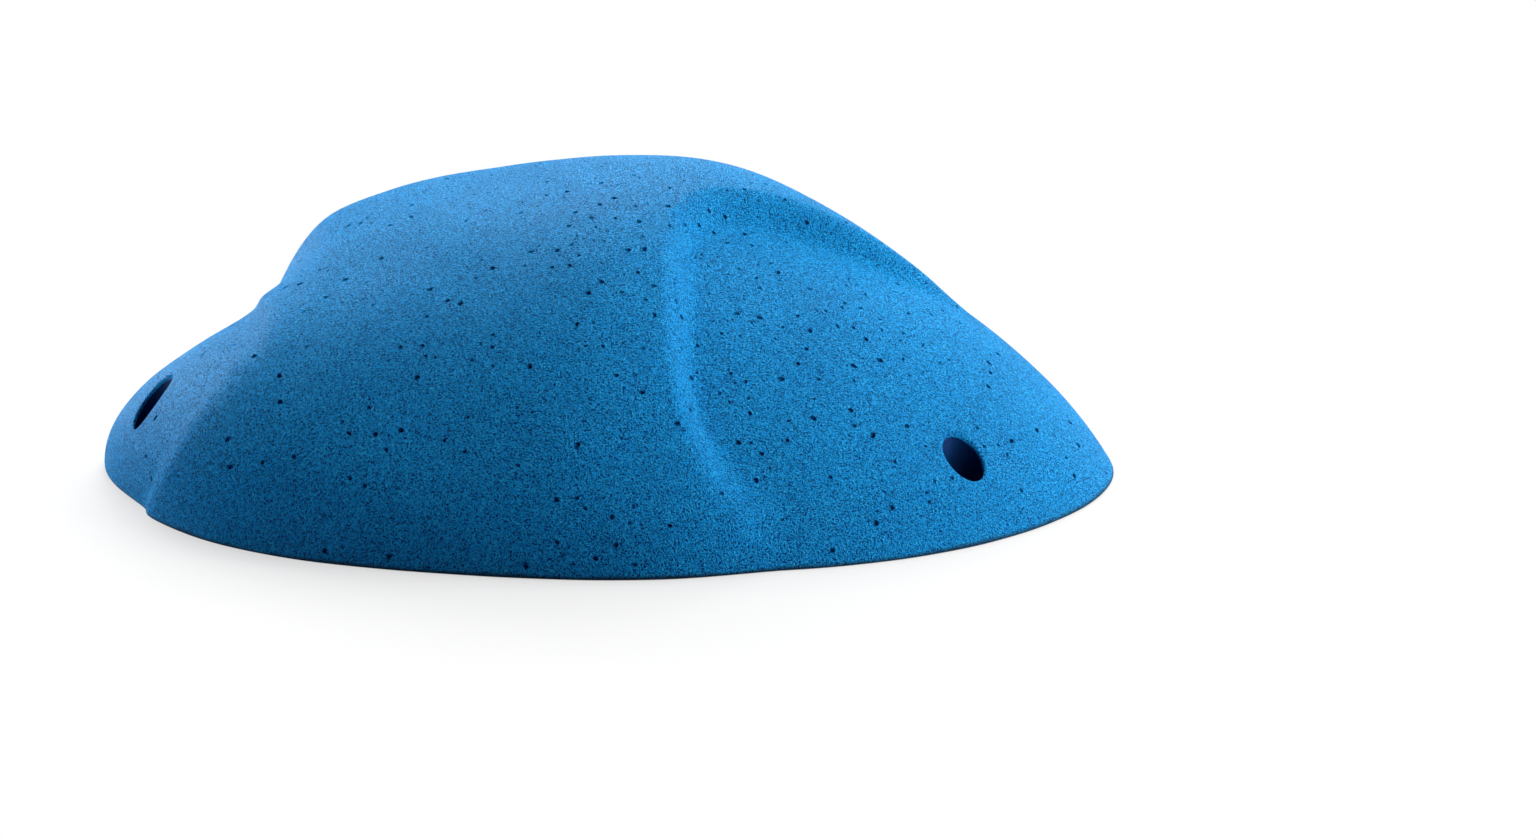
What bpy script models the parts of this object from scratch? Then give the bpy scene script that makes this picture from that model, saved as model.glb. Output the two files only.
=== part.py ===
"""Edge climbing hold: a hollow-backed polyurethane casting with four moulded-in steel screw washers.

The casting is a few rounded lobes that run into each other, with a crease where the main body meets
each wing. The wall face lies on z = 0 and +Z points away from the wall. +X runs along the hold, the
broad rounded front faces -Y and the steep gripping face is at +Y. Everything is in metres.
"""

import math
from dataclasses import dataclass

import bmesh
import bpy
import numpy as np

# Casting
WALL = 0.012                    # thickness of the shell behind the hollow back
RIB_THICKNESS = 0.008
RIB_PLACES = (-0.068, 0.072)    # x of each rib that crosses the hollow
BOSS_WALL = 0.006               # polyurethane round the washer's flange

# Lobes
MAIN_BLEND = 0.036              # how softly the shoulder grows out of the main body
CREST_BLEND = 0.043             # how softly the crest grows out of both
RIGHT_FILLET = 0.0032           # floor of the crease along the right wing
LEFT_FILLET = 0.0130
RIGHT_ROOT = 0.011              # x where the right wing ends, inside the main body
RIGHT_ROOT_BLEND = 0.0235
LEFT_ROOT = -0.112
LEFT_ROOT_BLEND = 0.016
LEFT_CREASE_DEPTH = 0.0065      # how far the main body dips along the left wing
LEFT_CREASE_WIDTH = 0.0070      # distance from the left wing over which it dips
LOBE_SOFTNESS = 0.12            # rounds a lobe where it crosses its own middle planes

# Right crease: the main body drops to the right wing in a wall whose foot follows an oval in plan
CREASE_CENTRE = (0.1345, -0.0955)
CREASE_HALF_SIZE = (0.0915, 0.0610)      # along the hold and across it
CREASE_POWER = 4.15             # squareness of the oval: 2 is an ellipse
CREASE_SOFTNESS = 0.01          # rounds the oval where it crosses its own middle lines
CREASE_DEPTH = 0.0132           # how far the wall drops
CREASE_WIDTH = 0.0167           # distance over which it drops beside the wing
CREASE_BACK_WIDTH = 0.0216      # distance over which it drops behind the wing
CREASE_FADE = 0.062             # height above the wall face over which the crease comes in
CREASE_TOP = 0.1105             # height at which it starts to run out towards the crest
CREASE_RUNOUT = 0.030           # height over which it runs out

# Gripping face: a steep cone-like face behind the crest, hollowed a little for the fingers
GRIP_AXIS = (0.010, -0.230)
GRIP_RADIUS = 0.322
GRIP_LEAN = math.radians(18)
GRIP_HOLLOW = 0.004
GRIP_HOLLOW_HEIGHT = 0.110
LIP_BLEND = 0.026

# Screw holes and washers
SCREW_PLACES = {
    "left": (-0.165, -0.078),
    "right": (0.136, -0.115),
    "back_left": (-0.128, 0.018),
    "back_right": (0.148, 0.018),
}
HEAD_BORE_RADIUS = 0.0075       # the open hole that the photograph shows
SCREW_BORE_RADIUS = 0.0040
WASHER_SEAT = 0.008             # underside of the washer above the wall
WASHER_RADIUS = 0.0100
WASHER_THICKNESS = 0.0012
COLLAR_HEIGHT = 0.0012
WASHER_BORE_RADIUS = 0.00325
PIECE_GAP = 0.0003              # room between the washer and the polyurethane

# Finish: colour, roughness, metallic
BLUE_POLYURETHANE = ((0.008, 0.17, 0.50), 0.62, 0.0)
ZINC_PLATED_STEEL = ((0.62, 0.62, 0.60), 0.32, 1.0)

# Mesh
OUTER_STEPS = 26                # rings from the top of the hold down to its edge
INNER_STEPS = 14
ROUND_SEGMENTS = 32
BOSS_SEGMENTS = 24
GRID_PROPORTIONS = (1.0, 0.6, 0.7)      # ellipsoid on which the surface grid is even
HALVINGS = 34                   # steps in which a line's crossing with the surface is found
REACH = 0.30                    # longer than any line from the middle of the hold to its surface
CUT_MARGIN = 0.010              # how far a cutter runs past the wall face
BODY_SHARP_ANGLE = math.radians(40)
WASHER_SHARP_ANGLE = math.radians(30)


@dataclass
class Lobe:
    """A rounded boulder shape, turned and tilted about its own centre."""

    centre: tuple           # x, y, z
    half_size: tuple        # along the lobe, across it, up
    heading: float          # degrees about z
    roll: float             # degrees about its own length
    tilt: float             # degrees about its own width
    plan_power: float       # 2 is an ellipse, more is squarer, less is more pointed
    side_power: float


MAIN_BODY = Lobe((-0.025, -0.055, -0.019), (0.156, 0.127, 0.113), -11, -19, 7, 2.55, 1.7)
SHOULDER = Lobe((-0.090, 0.013, -0.001), (0.027, 0.088, 0.085), 12, -7, -5, 2.65, 2.9)
CREST = Lobe((0.026, -0.0015, 0.0245), (0.1775, 0.164, 0.0915), -18.4, -5.3, 8, 1.0, 1.72)
RIGHT_WING = Lobe((-0.0015, -0.0405, 0.0065), (0.224, 0.142, 0.094), -17.5, 20.5, 16.3, 2.25, 1.91)
LEFT_WING = Lobe((-0.116, -0.068, 0.026), (0.064, 0.093, 0.040), 67, -22, -13, 1.5, 2.0)


def turning(lobe):
    """Rotation matrix of a lobe: roll about X, then tilt about Y, then heading about Z."""
    a, b, c = (math.radians(angle) for angle in (lobe.roll, lobe.tilt, lobe.heading))
    about_x = np.array([[1, 0, 0], [0, math.cos(a), -math.sin(a)], [0, math.sin(a), math.cos(a)]])
    about_y = np.array([[math.cos(b), 0, math.sin(b)], [0, 1, 0], [-math.sin(b), 0, math.cos(b)]])
    about_z = np.array([[math.cos(c), -math.sin(c), 0], [math.sin(c), math.cos(c), 0], [0, 0, 1]])
    return about_z @ about_y @ about_x


def lobe_distance(points, lobe):
    """Distance from each point to a lobe's surface, negative inside.

    With x, y and z measured in half sizes, the surface is (x^p + y^p)^(q/p) + z^q = 1, where p is the
    plan power and q the side power. The value over its slope is close to a distance near the surface.
    """
    half = np.array(lobe.half_size)
    p, q = lobe.plan_power, lobe.side_power
    local = (points - np.array(lobe.centre)) @ turning(lobe)
    x, y, z = np.moveaxis(np.sqrt((local / half) ** 2 + LOBE_SOFTNESS ** 2), -1, 0)
    plan = x ** p + y ** p
    around = plan ** (q / p)
    total = around + z ** q
    value = total ** (1 / q)
    share = value / total
    slope = np.stack([
        share * around / plan * x ** (p - 2) * local[..., 0] / half[0] ** 2,
        share * around / plan * y ** (p - 2) * local[..., 1] / half[1] ** 2,
        share * z ** (q - 2) * local[..., 2] / half[2] ** 2,
    ], -1)
    return (value - 1) / (np.linalg.norm(slope, axis=-1) + 1e-6)


def blend_union(first, second, blend):
    """The nearer of two distances, with a fillet where they differ by less than the blend."""
    overlap = np.maximum(blend - abs(first - second), 0)
    return np.minimum(first, second) - overlap ** 2 / (4 * blend)


def blend_cut(first, second, blend):
    """What is inside both shapes, with its edge rounded by the blend."""
    return -blend_union(-first, -second, blend)


def ease(value):
    """Smooth step from 0 to 1."""
    value = np.clip(value, 0, 1)
    return value * value * (3 - 2 * value)


def grip_distance(points):
    """Distance to the gripping face: a round face in plan that leans forward and is hollowed."""
    height = points[..., 2]
    hollow = GRIP_HOLLOW * np.sin(math.pi * np.clip(height / GRIP_HOLLOW_HEIGHT, 0, 1))
    radius = GRIP_RADIUS - np.maximum(height, 0) * math.tan(GRIP_LEAN) - hollow
    out = np.hypot(points[..., 0] - GRIP_AXIS[0], points[..., 1] - GRIP_AXIS[1]) - radius
    return out * math.cos(GRIP_LEAN)


def crease_share(points):
    """How far a point lies out across the right crease's wall: 0 at the wall's foot and 1 at its top.

    In plan the foot is the oval x^p + y^p = 1, with x and y measured in half sizes. The distance out from
    it is divided by the wall's width, which is CREASE_WIDTH where the oval faces along the hold and
    CREASE_BACK_WIDTH where it faces across the hold.
    """
    half = np.array(CREASE_HALF_SIZE)
    local = np.hypot((points[..., :2] - np.array(CREASE_CENTRE)) / half, CREASE_SOFTNESS)
    value = (local ** CREASE_POWER).sum(-1) ** (1 / CREASE_POWER)
    slope = local ** (CREASE_POWER - 1) / half
    across = np.linalg.norm(slope * (CREASE_WIDTH, CREASE_BACK_WIDTH), axis=-1)
    return (value - 1) * value ** (CREASE_POWER - 1) / across


def hold_distance(points):
    """Distance to the outer surface of the whole hold, negative inside."""
    right = lobe_distance(points, RIGHT_WING)
    right = blend_cut(right, RIGHT_ROOT - points[..., 0], RIGHT_ROOT_BLEND)
    left = lobe_distance(points, LEFT_WING)
    left = blend_cut(left, points[..., 0] - LEFT_ROOT, LEFT_ROOT_BLEND)
    body = blend_union(lobe_distance(points, MAIN_BODY), lobe_distance(points, SHOULDER), MAIN_BLEND)
    body = blend_union(body, lobe_distance(points, CREST), CREST_BLEND)
    height = points[..., 2]
    fade = ease(height / CREASE_FADE) * (1 - ease((height - CREASE_TOP) / CREASE_RUNOUT))
    body = body + CREASE_DEPTH * fade * (1 - ease(crease_share(points)))
    body = body + LEFT_CREASE_DEPTH * (1 - ease(left / LEFT_CREASE_WIDTH))
    whole = blend_union(blend_union(body, right, RIGHT_FILLET), left, LEFT_FILLET)
    return blend_cut(whole, grip_distance(points), LIP_BLEND)


def dome_grid(steps):
    """Angles of a grid over the upper half space: a square grid bent into a disc, ring by ring.

    A point's ring, from 0 in the middle to 1 at the border, becomes its angle down from straight up.
    Its place along the ring's side becomes the azimuth, 45 degrees for each half side.
    """
    side = np.linspace(-1, 1, 2 * steps + 1)
    u, v = np.meshgrid(side, side, indexing="ij")
    ring = np.maximum(abs(u), abs(v))
    safe = np.where(ring == 0, 1, ring)
    across = np.where(u >= 0, v, -v) / safe * math.pi / 4 + np.where(u >= 0, 0, math.pi)
    along = np.where(v >= 0, -u, u) / safe * math.pi / 4 + np.where(v >= 0, 0.5, 1.5) * math.pi
    azimuth = np.where(abs(u) >= abs(v), across, along)
    return azimuth, (1 - ring) * math.pi / 2


def surface_grid(steps, inset):
    """Points where lines from the middle of the wall face meet the surface that lies inset inside the hold.

    The lines point at an even grid on an ellipsoid of about the hold's proportions, and halving finds
    where each one crosses.
    """
    azimuth, rise = dome_grid(steps)
    lines = np.stack([np.cos(rise) * np.cos(azimuth), np.cos(rise) * np.sin(azimuth), np.sin(rise)], -1)
    lines *= GRID_PROPORTIONS
    lines /= np.linalg.norm(lines, axis=-1, keepdims=True)
    near = np.zeros(rise.shape)
    far = np.full(rise.shape, REACH)
    for _ in range(HALVINGS):
        middle = (near + far) / 2
        inside = hold_distance(lines * middle[..., None]) < -inset
        near = np.where(inside, middle, near)
        far = np.where(inside, far, middle)
    return lines * near[..., None]


def material(name, colour, roughness, metallic):
    made = bpy.data.materials.new(name)
    made.use_nodes = True
    shader = made.node_tree.nodes["Principled BSDF"]
    shader.inputs["Base Color"].default_value = (*colour, 1)
    shader.inputs["Roughness"].default_value = roughness
    shader.inputs["Metallic"].default_value = metallic
    return made


def add_object(name, mesh, parent, finish=None, cutter=False):
    made = bpy.data.objects.new(name, mesh)
    bpy.context.scene.collection.objects.link(made)
    made.parent = parent
    if finish:
        mesh.materials.append(finish)
    if cutter:
        made.hide_render = True
        made.display_type = "WIRE"
    return made


def dome_mesh(name, steps, inset, skirt):
    """Closed mesh of the surface grid, carried straight down by the skirt and closed with a flat face."""
    grid = surface_grid(steps, inset)
    count = 2 * steps + 1
    shape = bmesh.new()
    verts = [[shape.verts.new(point) for point in row] for row in grid]
    for i in range(count - 1):
        for j in range(count - 1):
            shape.faces.new((verts[i][j], verts[i + 1][j], verts[i + 1][j + 1], verts[i][j + 1]))
    last = count - 1
    border = [verts[i][0] for i in range(last)] + [verts[last][j] for j in range(last)]
    border += [verts[last - i][last] for i in range(last)] + [verts[0][last - j] for j in range(last)]
    foot = border
    if skirt:
        foot = [shape.verts.new((vert.co.x, vert.co.y, -skirt)) for vert in border]
        for k in range(len(border)):
            after = (k + 1) % len(border)
            shape.faces.new((border[k], foot[k], foot[after], border[after]))
    shape.faces.new(foot)
    bmesh.ops.recalc_face_normals(shape, faces=shape.faces)
    mesh = bpy.data.meshes.new(name)
    shape.to_mesh(mesh)
    shape.free()
    return mesh


def turned_mesh(name, profile, segments, closed):
    """Round solid turned about Z from (radius, height) points; closed means the profile is a loop."""
    shape = bmesh.new()
    verts = [shape.verts.new((radius, 0, height)) for radius, height in profile]
    edges = [shape.edges.new(pair) for pair in zip(verts, verts[1:])]
    if closed:
        edges.append(shape.edges.new((verts[-1], verts[0])))
    bmesh.ops.spin(shape, geom=verts + edges, cent=(0, 0, 0), axis=(0, 0, 1), angle=2 * math.pi,
                   steps=segments, use_merge=True)
    bmesh.ops.remove_doubles(shape, verts=shape.verts, dist=1e-6)
    bmesh.ops.recalc_face_normals(shape, faces=shape.faces)
    mesh = bpy.data.meshes.new(name)
    shape.to_mesh(mesh)
    shape.free()
    return mesh


def block_mesh(name, low, high):
    shape = bmesh.new()
    bmesh.ops.create_cube(shape, size=1)
    for vert in shape.verts:
        vert.co = [low[k] if vert.co[k] < 0 else high[k] for k in range(3)]
    mesh = bpy.data.meshes.new(name)
    shape.to_mesh(mesh)
    shape.free()
    return mesh


def cut(target, tool):
    step = target.modifiers.new(tool.name, "BOOLEAN")
    step.operation = "DIFFERENCE"
    step.solver = "EXACT"
    step.object = tool


def smooth(target, angle):
    target.data.shade_smooth()
    target.data.set_sharp_from_angle(angle=angle)


def add_hollow(parent):
    """Cutter for the hollow back: the inner surface, less the ribs and the screw bosses."""
    hollow = add_object("hollow_tool", dome_mesh("hollow_tool", INNER_STEPS, WALL, CUT_MARGIN), parent,
                        cutter=True)
    low, high = -2 * CUT_MARGIN, REACH
    for number, place in enumerate(RIB_PLACES, 1):
        start = (place - RIB_THICKNESS / 2, -REACH, low)
        end = (place + RIB_THICKNESS / 2, REACH, high)
        name = f"rib_tool_{number}"
        cut(hollow, add_object(name, block_mesh(name, start, end), parent, cutter=True))
    boss_radius = WASHER_RADIUS + PIECE_GAP + BOSS_WALL
    boss = turned_mesh("boss_tool", [(0, low), (boss_radius, low), (boss_radius, high), (0, high)],
                       BOSS_SEGMENTS, False)
    for name, place in SCREW_PLACES.items():
        tool = add_object(f"boss_tool_{name}", boss, parent, cutter=True)
        tool.location = (*place, 0)
        cut(hollow, tool)
    return hollow


def screw_hole_mesh():
    """Stepped cutter: screw clearance, then the washer's groove, then the wide bore for the head."""
    groove = WASHER_RADIUS + PIECE_GAP
    floor = WASHER_SEAT - PIECE_GAP
    roof = WASHER_SEAT + WASHER_THICKNESS + PIECE_GAP
    profile = [
        (0, -CUT_MARGIN), (SCREW_BORE_RADIUS, -CUT_MARGIN), (SCREW_BORE_RADIUS, floor), (groove, floor),
        (groove, roof), (HEAD_BORE_RADIUS, roof), (HEAD_BORE_RADIUS, REACH), (0, REACH),
    ]
    return turned_mesh("screw_hole_tool", profile, ROUND_SEGMENTS, False)


def washer_mesh():
    """Flat flange held in the groove, with a collar that stands up inside the wide bore."""
    collar = HEAD_BORE_RADIUS - PIECE_GAP
    step = WASHER_THICKNESS
    top = WASHER_THICKNESS + COLLAR_HEIGHT
    profile = [
        (WASHER_BORE_RADIUS, 0), (WASHER_RADIUS, 0), (WASHER_RADIUS, step), (collar, step),
        (collar, top), (WASHER_BORE_RADIUS, top),
    ]
    return turned_mesh("washer", profile, ROUND_SEGMENTS, True)


def add_body(parent):
    blue = material("blue_polyurethane", *BLUE_POLYURETHANE)
    body = add_object("hold_body", dome_mesh("hold_body", OUTER_STEPS, 0, 0), parent, blue)
    cut(body, add_hollow(parent))
    hole = screw_hole_mesh()
    for name, place in SCREW_PLACES.items():
        tool = add_object(f"screw_hole_tool_{name}", hole, parent, cutter=True)
        tool.location = (*place, 0)
        cut(body, tool)
    smooth(body, BODY_SHARP_ANGLE)
    return body


def add_washers(parent):
    steel = material("zinc_plated_steel", *ZINC_PLATED_STEEL)
    mesh = washer_mesh()
    mesh.materials.append(steel)
    for name, place in SCREW_PLACES.items():
        washer = add_object(f"washer_{name}", mesh, parent)
        washer.location = (*place, WASHER_SEAT)
        smooth(washer, WASHER_SHARP_ANGLE)


def outline_middle():
    """Middle of the hold's box in plan, which becomes the origin."""
    points = surface_grid(OUTER_STEPS, 0).reshape(-1, 3)
    return (points.min(0) + points.max(0)) / 2


def main():
    for old in list(bpy.data.objects):
        bpy.data.objects.remove(old)
    hold = bpy.data.objects.new("hold", None)
    bpy.context.scene.collection.objects.link(hold)
    middle = outline_middle()
    hold.location = (-middle[0], -middle[1], 0)
    add_body(hold)
    add_washers(hold)


main()
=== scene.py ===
"""Looks of an edge climbing hold: a fine mesh of the casting, its steel washers and a white studio.

Everything is in metres in the part's own frame. The wall face lies on z = 0, +Z points away from the
wall, +X runs along the hold, the broad front faces -Y and the steep gripping face is at +Y. The lobes
are given in the frame they were designed in, which lies a little to one side: a washer's place in both
gives the shift.
"""

import math

import bmesh
import bpy
import numpy as np
from bpy.props import FloatProperty, FloatVectorProperty, IntProperty, PointerProperty
from bpy.types import Operator, Panel, PropertyGroup
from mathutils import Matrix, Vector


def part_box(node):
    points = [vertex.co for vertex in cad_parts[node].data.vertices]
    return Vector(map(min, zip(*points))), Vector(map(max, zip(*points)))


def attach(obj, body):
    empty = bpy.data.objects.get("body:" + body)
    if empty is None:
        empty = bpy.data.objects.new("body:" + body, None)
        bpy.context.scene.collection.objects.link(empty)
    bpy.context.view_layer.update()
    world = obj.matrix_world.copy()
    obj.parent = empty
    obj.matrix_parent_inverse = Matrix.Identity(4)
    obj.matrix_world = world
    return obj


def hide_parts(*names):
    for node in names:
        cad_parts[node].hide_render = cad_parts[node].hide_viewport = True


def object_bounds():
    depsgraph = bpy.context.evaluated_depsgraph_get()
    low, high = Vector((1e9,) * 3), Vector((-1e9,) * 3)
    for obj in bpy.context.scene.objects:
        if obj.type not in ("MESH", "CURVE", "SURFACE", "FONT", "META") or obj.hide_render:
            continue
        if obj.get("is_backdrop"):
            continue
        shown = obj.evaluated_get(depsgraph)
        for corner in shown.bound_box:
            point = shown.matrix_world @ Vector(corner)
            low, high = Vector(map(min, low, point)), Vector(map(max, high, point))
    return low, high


bl_info = {
    "name": "Edge climbing hold",
    "version": (1, 0, 0),
    "blender": (4, 5, 0),
    "location": "3D View > Sidebar > Hold",
    "description": "Makes the casting, washers and studio of an edge climbing hold",
    "category": "Object",
}

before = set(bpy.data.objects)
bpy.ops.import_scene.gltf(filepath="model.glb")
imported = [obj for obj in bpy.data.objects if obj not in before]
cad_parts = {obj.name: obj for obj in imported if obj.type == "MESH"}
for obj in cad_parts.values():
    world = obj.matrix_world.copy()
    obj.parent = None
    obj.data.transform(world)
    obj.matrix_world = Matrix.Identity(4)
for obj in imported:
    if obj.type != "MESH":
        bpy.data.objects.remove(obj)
CAD_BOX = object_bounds()

WASHERS = ("left", "right", "back_left", "back_right")
DESIGN_LEFT_SCREW = np.array([-0.165, -0.078])      # the left screw in the lobes' own frame

# Mesh
REACH = 0.30                # longer than any line from the middle of the hold to its surface
CUT_MARGIN = 0.010          # how far a cutter runs past what it cuts
GRID_PROPORTIONS = (1.0, 0.6, 0.7)      # ellipsoid on which the surface grid is even
HALVINGS = 26               # steps in the search for a surface
SLOPE_STEP = 0.0004         # step over which a surface's slope is taken
EDGE_TURNS = (18, 36, 54, 72, 90)       # angles in degrees of the rings that round the lower edge
MOUTH_RINGS = 9             # rings in the rounding of a screw hole's mouth
BOSS_SEGMENTS = 64
HOLE_SEGMENTS = 72
PIT_SEGMENTS = 8
ROUND_SEGMENTS = 96         # sides of a washer and of the floor
SHARP_ANGLE = math.radians(38)          # an edge that turns by more stays sharp

# Pits
PLACE_SEED, SHAPE_SEED = 11, 12
PIT_TRIES = 8               # random places looked at for each pit
PIT_RADII = 0.00030, 0.00115            # smallest and largest
PIT_PATCH, PIT_SPREAD = (0.035, -0.075), (0.11, 0.09)   # middle and spread of where most pits are
PIT_SHARE = 0.22            # share of the places that is kept far from there
PIT_EDGE_ROOM, PIT_HOLE_ROOM = 0.004, 0.002     # free strips along the edge and round each hole
PIT_SPACING = 2.4           # least distance of two pits, in sums of their radii

# Slots of the casting's materials, and which faces get them
SKIN, WALL_FACE, MOULDED, BORE = range(4)
INSIDE_DEPTH = 0.0022       # how deep below the skin the inside begins
ON_BORE, ON_WALL_FACE = 0.0001, 0.00001     # how near a face has to be to count as part of either
UPRIGHT, LEVEL = 0.1, 0.99  # most and least height in the normal of an upright and a level face


def size(name, default, description):
    """A length property in metres."""
    return FloatProperty(name=name, description=description, default=default, unit="LENGTH", precision=4)


def vector(name, default, description, **kind):
    """A property of several numbers."""
    return FloatVectorProperty(name=name, description=description, default=default, **kind)


def plan(name, default, description):
    """A property of two lengths in metres."""
    return vector(name, default, description, size=2, unit="LENGTH")


def whole(name, default, highest, description):
    """A whole number property."""
    return IntProperty(name=name, description=description, default=default, min=0, max=highest)


def fraction(name, default, description):
    """A property from 0 to 1."""
    return FloatProperty(name=name, description=description, default=default, min=0, max=1)


def tilt(name, default, description):
    """An angle property, given in degrees."""
    return FloatProperty(name=name, description=description, default=math.radians(default), subtype="ANGLE")


def colour(name, default, description):
    """A linear colour property."""
    return vector(name, default, description, size=3, subtype="COLOR", min=0, max=1)


def lobe_settings(class_name, centre, half_size, turn, powers):
    """Property group of one rounded boulder shape, with its own defaults."""
    fields = {
        "centre": vector("Centre", centre, "Middle of the lobe", subtype="TRANSLATION", unit="LENGTH"),
        "half_size": vector("Half size", half_size, "Along the lobe, across it and up", subtype="XYZ_LENGTH",
                            unit="LENGTH"),
        "turn": vector("Turn", [math.radians(angle) for angle in turn], "Roll, tilt and heading",
                       subtype="EULER", unit="ROTATION"),
        "powers": vector("Powers", powers, "Squareness in plan and from the side: 2 is an ellipse", size=2),
    }
    return type(class_name, (PropertyGroup,), {"__annotations__": fields})


MainBody = lobe_settings("HOLD_PG_main_body", (-0.025, -0.055, -0.019), (0.156, 0.127, 0.113),
                         (-19, 7, -11), (2.55, 1.7))
Shoulder = lobe_settings("HOLD_PG_shoulder", (-0.090, 0.013, -0.001), (0.027, 0.088, 0.085),
                         (-7, -5, 12), (2.65, 2.9))
Crest = lobe_settings("HOLD_PG_crest", (0.026, -0.0015, 0.0245), (0.1775, 0.164, 0.0915),
                      (-5.3, 8, -18.4), (1.0, 1.72))
RightWing = lobe_settings("HOLD_PG_right_wing", (-0.0015, -0.0405, 0.0065), (0.224, 0.142, 0.094),
                          (20.5, 16.3, -17.5), (2.25, 1.91))
LeftWing = lobe_settings("HOLD_PG_left_wing", (-0.116, -0.068, 0.026), (0.064, 0.093, 0.040),
                         (-22, -13, 67), (1.5, 2.0))


class HoldShape(PropertyGroup):
    """Sizes of the casting's outer surface and of what is cut out of it."""

    main_body: PointerProperty(type=MainBody)
    shoulder: PointerProperty(type=Shoulder)
    crest: PointerProperty(type=Crest)
    right_wing: PointerProperty(type=RightWing)
    left_wing: PointerProperty(type=LeftWing)
    softness: fraction("Softness", 0.12, "Rounds a lobe where it crosses its own middle planes")
    main_blend: size("Main blend", 0.036, "How softly the shoulder grows out of the main body")
    crest_blend: size("Crest blend", 0.043, "How softly the crest grows out of both")
    right_fillet: size("Right fillet", 0.0032, "Floor of the crease along the right wing")
    left_fillet: size("Left fillet", 0.0130, "Floor of the crease along the left wing")
    right_root: size("Right root", 0.011, "Where the right wing ends inside the main body")
    right_root_blend: size("Right root blend", 0.0235, "How softly it ends there")
    left_root: size("Left root", -0.112, "Where the left wing ends inside the main body")
    left_root_blend: size("Left root blend", 0.016, "How softly it ends there")
    crease_centre: plan("Crease centre", (0.1345, -0.0955), "Middle of the right crease's oval foot")
    crease_half: plan("Crease half size", (0.0915, 0.0610), "Half size of that oval, along and across")
    crease_power: FloatProperty(name="Crease power", default=4.15, description="Squareness of the oval")
    crease_softness: fraction("Crease softness", 0.01, "Rounds the oval at its own middle lines")
    right_crease_depth: size("Right crease depth", 0.0132, "How far the main body drops to the crease's foot")
    right_crease_width: size("Right crease width", 0.0167, "Distance over which it drops beside the wing")
    right_crease_back: size("Right crease back width", 0.0216, "Distance over which it drops behind the wing")
    right_crease_fade: size("Right crease fade", 0.062, "Height over which the crease comes in")
    right_crease_top: size("Right crease top", 0.1105, "Height at which it starts to run out")
    right_crease_runout: size("Right crease run-out", 0.030, "Height over which it runs out")
    left_crease_depth: size("Left crease depth", 0.0065, "How far the main body dips at the wing")
    left_crease_width: size("Left crease width", 0.007, "Distance over which it dips")
    grip_axis: plan("Grip axis", (0.010, -0.230), "Middle of the round gripping face in plan")
    grip_radius: size("Grip radius", 0.322, "Radius of the gripping face at the wall")
    grip_lean: tilt("Grip lean", 18, "How far the gripping face leans forward")
    grip_hollow: size("Grip hollow", 0.004, "How deeply the gripping face is hollowed")
    grip_hollow_height: size("Grip hollow height", 0.110, "Height over which it is hollowed")
    lip_blend: size("Lip blend", 0.026, "How softly the crest turns over into the gripping face")
    wave: size("Wave", 0.00012, "Slow unevenness left by shaping by hand")
    edge_round: size("Edge round", 0.0016, "Rounding where the skin meets the wall face")
    wall: size("Wall", 0.012, "Thickness of the shell behind the hollow back")
    rib_thickness: size("Rib thickness", 0.008, "Thickness of each rib across the hollow")
    rib_places: plan("Rib places", (-0.068, 0.072), "Where each rib crosses the hollow")
    boss_wall: size("Boss wall", 0.006, "Polyurethane round the washer's flange")
    head_bore_radius: size("Head bore radius", 0.0075, "Open hole for the screw's head")
    screw_bore_radius: size("Screw bore radius", 0.004, "Hole for the screw below the washer")
    mouth_round: size("Mouth round", 0.0017, "Rounding of each screw hole's mouth")
    piece_gap: size("Piece gap", 0.0003, "Room between the washer and the polyurethane")
    skin_steps: whole("Skin steps", 120, 160, "Rings from the top of the hold down to its edge")
    hollow_steps: whole("Hollow steps", 40, 80, "Rings of the hollow's surface")
    pit_count: whole("Pits", 520, 600, "Open air bubbles in the skin that are cut as real pits")
    pit_radius: size("Pit radius", 0.00074, "Radius of a common pit")
    pit_radius_spread: fraction("Pit spread", 0.36, "How unlike the pits' radii are")


class HoldWasher(PropertyGroup):
    """Sizes of the steel washers."""

    flange_radius: size("Flange radius", 0.010, "Outer radius of the flange held in the casting")
    flange_thickness: size("Flange thickness", 0.0012, "Thickness of the flange")
    collar_height: size("Collar height", 0.0012, "Height of the collar above the flange")
    bore_radius: size("Bore radius", 0.00325, "Radius of the hole that the screw goes through")
    edge_round: size("Edge round", 0.00022, "Rounding of every edge")


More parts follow.
